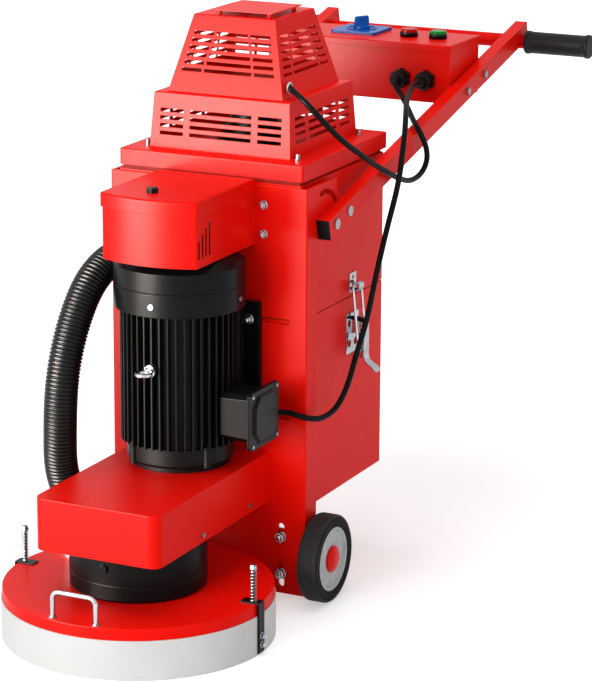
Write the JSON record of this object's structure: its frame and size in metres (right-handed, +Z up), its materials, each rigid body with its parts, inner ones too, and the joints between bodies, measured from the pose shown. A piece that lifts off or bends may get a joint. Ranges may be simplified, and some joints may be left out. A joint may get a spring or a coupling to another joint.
{
  "type": "walk-behind floor grinder",
  "caption": "Walk-behind concrete floor grinder: planetary grinding head under an upright motor, two wheels, dust collector cabinet and folding push handle with controls.",
  "frame": {"origin": "on the floor, in the middle of the machine's width and length", "axes": "+Z up, the grinding head faces -Y, the operator stands at +Y, +X to the operator's right"},
  "size_m": [0.9006, 1.8274, 1.295],
  "materials": {
    "red_paint": "gloss powder coat",
    "rubber": "matt",
    "black_plastic": "moulded",
    "filter_paper": "pleated",
    "zinc": "bright zinc plate",
    "black_cast": "painted casting",
    "black_paint": "satin black enamel",
    "copper": "varnished winding on laminations",
    "steel": "machined",
    "chrome": "polished",
    "grey_plastic": "moulded",
    "red_cap": "moulded",
    "tyre": "solid rubber",
    "grey_rim": "moulded",
    "iron": "machined casting",
    "aluminium": "cast",
    "blue_plastic": "moulded",
    "green_button": "moulded",
    "red_button": "moulded"
  },
  "bodies": {
    "chassis": {"front_plate": "red_paint", "filter_housing": "red_paint", "dust_bin": "red_paint", "rubber_seals": "rubber", "cabinet_lid": "red_paint", "hood_base": "red_paint", "hood": "red_paint", "vacuum_motor": "black_plastic", "filter_cartridge": "filter_paper", "latch_plates": "zinc", "motor_housing": "black_cast", "motor_cowl": "black_paint", "stator": "copper", "bearings": "steel", "terminal_box": "black_paint", "lifting_points": "chrome", "fasteners": "zinc", "cover_body": "red_paint", "cover_lid": "red_paint", "belt_housing": "black_paint", "gear_drum": "black_paint", "disc_cover": "black_paint", "hose_ports": "zinc", "hose": "grey_plastic", "motor_cable": "rubber", "vacuum_cable": "rubber", "drive_belts": "rubber", "skirt_springs": "zinc"},
    "skirt_ring": {"skirt": "red_paint", "skirt_brackets": "black_paint"},
    "axle_carriage": {"axle_bracket": "red_paint", "axle_and_bolts": "zinc", "hub_caps": "red_cap"},
    "wheel_left": {"tyre_left": "tyre", "rim_left": "grey_rim"},
    "wheel_right": {"tyre_right": "tyre", "rim_right": "grey_rim"},
    "rotor": {"rotor_shaft": "steel", "drive_pulley": "iron"},
    "head": {"head_spindle": "iron", "planet_carrier": "iron"},
    "planet_1": {"planet_head_1": "iron"},
    "planet_2": {"planet_head_2": "iron"},
    "planet_3": {"planet_head_3": "iron"},
    "fan_wheel": {"impeller": "aluminium"},
    "cover_knob": {"star_knob": "black_plastic"},
    "lever_left": {"latch_lever_left": "zinc"},
    "lever_right": {"latch_lever_right": "zinc"},
    "bail_left": {"latch_bail_left": "zinc"},
    "bail_right": {"latch_bail_right": "zinc"},
    "handle": {"handle_frame": "red_paint", "handle_grips": "rubber", "handle_bolts": "zinc", "control_box": "red_paint", "box_fittings": "black_plastic"},
    "box_lid": {"control_box_lid": "red_paint", "switch_plate": "blue_plastic"},
    "switch_knob": {"rotary_knob": "black_plastic"},
    "start": {"start_button": "green_button"},
    "stop": {"stop_button": "red_button"}
  },
  "joints": [
    {"name": "head_spin", "type": "hinge", "parent": "chassis", "child": "head", "pos_m": [0, -0.61525, 0.2], "axis": [0, 0, 1], "continuous": true},
    {"name": "motor_spin", "type": "hinge", "parent": "chassis", "child": "rotor", "pos_m": [0, -0.41925, 0.5], "axis": [0, 0, 1], "continuous": true},
    {"name": "planet_1_spin", "type": "hinge", "parent": "head", "child": "planet_1", "pos_m": [0, -0.46525, 0.06], "axis": [0, 0, 1], "continuous": true},
    {"name": "planet_2_spin", "type": "hinge", "parent": "head", "child": "planet_2", "pos_m": [-0.1299, -0.69025, 0.06], "axis": [0, 0, 1], "continuous": true},
    {"name": "planet_3_spin", "type": "hinge", "parent": "head", "child": "planet_3", "pos_m": [0.1299, -0.69025, 0.06], "axis": [0, 0, 1], "continuous": true},
    {"name": "skirt_float", "type": "slide", "parent": "chassis", "child": "skirt_ring", "axis": [0, 0, 1], "range_m": [0, 0.015], "stiffness_N_per_m": 600, "springref_m": -0.02, "deforming": ["skirt_springs"]},
    {"name": "axle_height", "type": "slide", "parent": "chassis", "child": "axle_carriage", "axis": [0, 0, 1], "range_m": [-0.02, 0.02]},
    {"name": "wheel_left_spin", "type": "hinge", "parent": "axle_carriage", "child": "wheel_left", "pos_m": [-0.277, -0.25825, 0.1], "axis": [1, 0, 0], "continuous": true},
    {"name": "wheel_right_spin", "type": "hinge", "parent": "axle_carriage", "child": "wheel_right", "pos_m": [0.277, -0.25825, 0.1], "axis": [1, 0, 0], "continuous": true},
    {"name": "impeller_spin", "type": "hinge", "parent": "chassis", "child": "fan_wheel", "pos_m": [0, -0.05975, 1.008], "axis": [0, 0, 1], "continuous": true},
    {"name": "cover_knob_turn", "type": "hinge", "parent": "chassis", "child": "cover_knob", "pos_m": [-0.012, -0.51525, 0.96], "axis": [0, 0, 1], "continuous": true},
    {"name": "latch_lever_left_swing", "type": "hinge", "parent": "chassis", "child": "lever_left", "pos_m": [-0.254, -0.01125, 0.575], "axis": [0, 1, 0], "range_deg": [0, 75]},
    {"name": "latch_bail_left_swing", "type": "hinge", "parent": "lever_left", "child": "bail_left", "pos_m": [-0.252, -0.01125, 0.522], "axis": [0, 1, 0], "range_deg": [-53, 0]},
    {"name": "latch_lever_right_swing", "type": "hinge", "parent": "chassis", "child": "lever_right", "pos_m": [0.254, -0.01125, 0.575], "axis": [0, -1, 0], "range_deg": [0, 75]},
    {"name": "latch_bail_right_swing", "type": "hinge", "parent": "lever_right", "child": "bail_right", "pos_m": [0.252, -0.01125, 0.522], "axis": [0, -1, 0], "range_deg": [-53, 0]},
    {"name": "handle_fold", "type": "hinge", "parent": "chassis", "child": "handle", "pos_m": [0, -0.20025, 0.852], "axis": [1, 0, 0], "range_deg": [0, 90], "deforming": ["vacuum_cable", "motor_cable"]},
    {"name": "box_lid_swing", "type": "hinge", "parent": "handle", "child": "box_lid", "pos_m": [0, 0.67975, 1.123], "axis": [-1, 0, 0], "range_deg": [0, 80]},
    {"name": "switch_knob_turn", "type": "hinge", "parent": "box_lid", "child": "switch_knob", "pos_m": [-0.041, 0.60475, 1.15], "axis": [0, 0, 1], "range_deg": [0, 90]},
    {"name": "start_button_press", "type": "slide", "parent": "box_lid", "child": "start", "axis": [0, 0, -1], "range_m": [0, 0.003], "stiffness_N_per_m": 1500, "springref_m": -0.001},
    {"name": "stop_button_press", "type": "slide", "parent": "box_lid", "child": "stop", "axis": [0, 0, -1], "range_m": [0, 0.003], "stiffness_N_per_m": 1500, "springref_m": -0.001}
  ],
  "couplings": [
    {"joint": "motor_spin", "follows": "head_spin", "ratio": 1.9489},
    {"joint": "planet_1_spin", "follows": "head_spin", "ratio": 0.66667},
    {"joint": "planet_2_spin", "follows": "head_spin", "ratio": 0.66667},
    {"joint": "planet_3_spin", "follows": "head_spin", "ratio": 0.66667},
    {"joint": "latch_bail_left_swing", "follows": "latch_lever_left_swing", "ratio": -0.705},
    {"joint": "latch_bail_right_swing", "follows": "latch_lever_right_swing", "ratio": -0.705}
  ]
}
